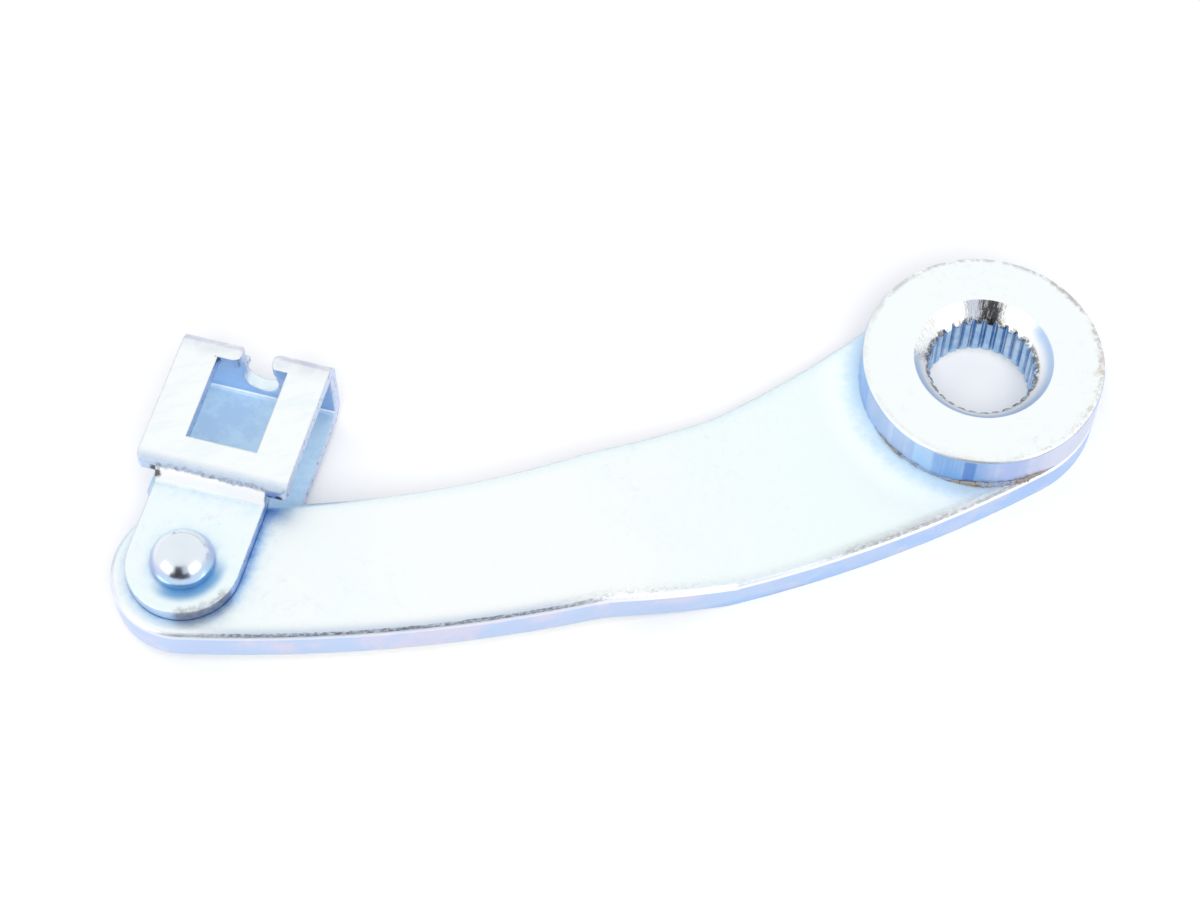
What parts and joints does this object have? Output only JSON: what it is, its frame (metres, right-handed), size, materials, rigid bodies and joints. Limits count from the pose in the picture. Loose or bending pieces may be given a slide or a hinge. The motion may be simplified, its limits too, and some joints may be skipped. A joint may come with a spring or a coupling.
{
  "type": "brake lever",
  "caption": "Cranked drum brake lever: a curved steel plate with a serrated hub bore at one end and a folded cable clip that swings on a rivet at the other.",
  "frame": {"origin": "on the serrated bore's axis at the hub's back face, which is also the back face of the lever plate there", "axes": "+Z along the bore towards the boss and its countersunk mouth; +X from the clip's pivot towards the bore; +Y towards the lever's hollow edge, where the clip stands at rest"},
  "size_m": [0.1083, 0.0426, 0.0121],
  "materials": {
    "zinc_plate": "bright bluish zinc plating, satin, with a rough rolled edge",
    "zinc_hub": "bright bluish zinc plating over turned steel",
    "zinc_sheet": "bright bluish zinc plating over folded sheet",
    "polished_rivet": "bright polished steel"
  },
  "bodies": {
    "arm": {"lever_arm": "zinc_plate", "splined_hub": "zinc_hub"},
    "clip": {"cable_clip": "zinc_sheet", "pivot_rivet": "polished_rivet"}
  },
  "joints": [
    {"name": "clip_pivot", "type": "hinge", "parent": "arm", "child": "clip", "pos_m": [-0.0875, 0, 0], "axis": [0, 0, 1], "range_deg": [-32, 248]}
  ]
}
